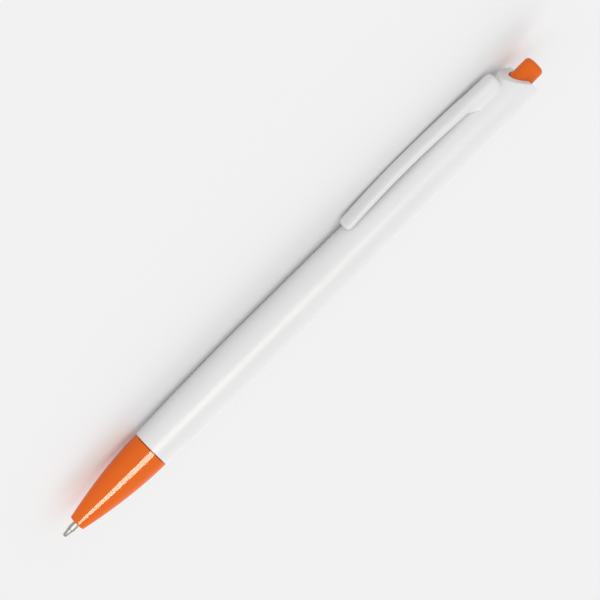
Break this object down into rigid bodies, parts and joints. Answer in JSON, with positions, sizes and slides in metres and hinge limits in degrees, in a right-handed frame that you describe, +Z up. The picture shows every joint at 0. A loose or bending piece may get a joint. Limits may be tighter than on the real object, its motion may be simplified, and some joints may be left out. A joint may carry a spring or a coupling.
{
  "type": "ballpoint pen",
  "caption": "Click ballpoint pen: white barrel with arched pocket clip and slanted end, orange screw-on nose and push button, metal point, ratchet click mechanism and refill.",
  "frame": {"origin": "on the plane the pen lies on, under the middle of its length and of its width, with the barrel's widest circle touching the plane", "axes": "+X along the pen from the push button to the writing tip, +Z up from the plane it lies on, -Y the side that the pocket clip is on"},
  "size_m": [0.1422, 0.0124, 0.0105],
  "materials": {
    "white_plastic": "smooth white moulded plastic, semi-gloss",
    "orange_plastic": "smooth orange moulded plastic, glossy",
    "mechanism_plastic": "natural white acetal, satin",
    "spring_steel": "bright drawn spring wire",
    "holder_plastic": "natural polypropylene",
    "tube_plastic": "translucent extruded polypropylene",
    "ink": "dark blue paste ink",
    "grease": "clear yellowish grease",
    "nickel_silver": "turned nickel silver, polished",
    "ball_carbide": "polished carbide ball"
  },
  "bodies": {
    "barrel": {"barrel": "white_plastic", "return_spring": "spring_steel"},
    "clip": {"pocket_clip": "white_plastic"},
    "nose": {"nose_cone": "orange_plastic"},
    "refill": {"writing_point": "nickel_silver", "point_holder": "holder_plastic", "ink_tube": "tube_plastic", "ink_column": "ink", "grease_follower": "grease"},
    "ball": {"writing_ball": "ball_carbide"},
    "rotor": {"cam_rotor": "mechanism_plastic"},
    "button": {"push_button": "orange_plastic"}
  },
  "joints": [
    {"name": "refill_slide", "type": "slide", "parent": "barrel", "child": "refill", "axis": [-1, 0, 0], "range_m": [-0.0006, 0.0055], "deforming": ["return_spring"]},
    {"name": "button_slide", "type": "slide", "parent": "barrel", "child": "button", "axis": [-1, 0, 0], "range_m": [-0.0006, 0.0055]},
    {"name": "rotor_turn", "type": "hinge", "parent": "refill", "child": "rotor", "pos_m": [-0.04, 0.00102, 0.00524], "axis": [-1, 0, 0], "continuous": true},
    {"name": "ball_roll", "type": "hinge", "parent": "refill", "child": "ball", "pos_m": [0.0707, 0.00102, 0.00524], "axis": [0, 1, 0], "continuous": true},
    {"name": "nose_turn", "type": "hinge", "parent": "barrel", "child": "nose", "pos_m": [0.05, 0.00102, 0.00524], "axis": [1, 0, 0], "range_deg": [0, 1080]},
    {"name": "clip_flex", "type": "hinge", "parent": "barrel", "child": "clip", "pos_m": [-0.06215, -0.00312, 0.0032], "axis": [0, 0.4423, -0.8969], "range_deg": [0, 3.5], "stiffness_Nm_per_rad": 0.4}
  ],
  "couplings": [
    {"joint": "button_slide", "follows": "refill_slide", "ratio": 1}
  ]
}
